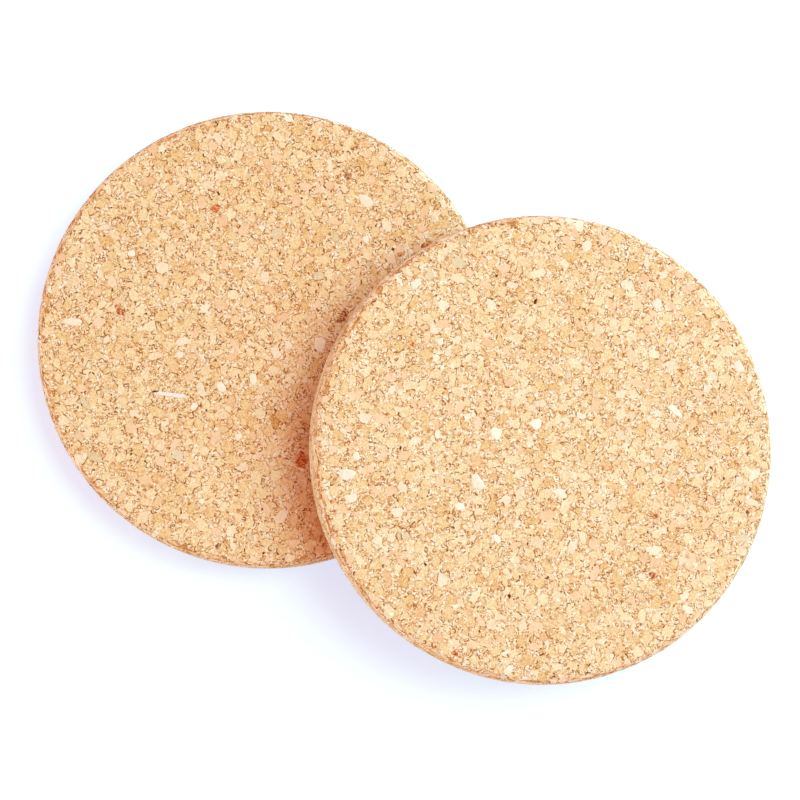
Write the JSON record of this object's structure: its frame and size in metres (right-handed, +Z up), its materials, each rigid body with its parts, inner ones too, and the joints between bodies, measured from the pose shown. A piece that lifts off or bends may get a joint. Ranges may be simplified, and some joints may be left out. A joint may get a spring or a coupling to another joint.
{
  "type": "drink coaster",
  "caption": "Round agglomerated-cork drink coasters with rounded edges, one lying flat and one leaning on its rim and free to be lifted off.",
  "frame": {"origin": "centre of the lower coaster's underside, on the table", "axes": "+Z up from the table, +X from the lower coaster's centre to the upper coaster's centre"},
  "size_m": [0.1639, 0.1, 0.0253],
  "materials": {
    "cork": "matte",
    "pale_cork": "matte",
    "bark": "matte",
    "straw": "matte"
  },
  "bodies": {
    "lower_coaster": {"lower_disc": "cork", "lower_pale_granules": "pale_cork", "lower_bark_flecks": "bark", "lower_straw_splinter": "straw"},
    "upper_coaster": {"upper_disc": "cork", "upper_pale_granules": "pale_cork", "upper_bark_flecks": "bark"}
  },
  "joints": [
    {"name": "upper_lift", "type": "slide", "parent": "lower_coaster", "child": "upper_coaster", "axis": [0, 0, 1], "range_m": [0, 0.06]}
  ]
}
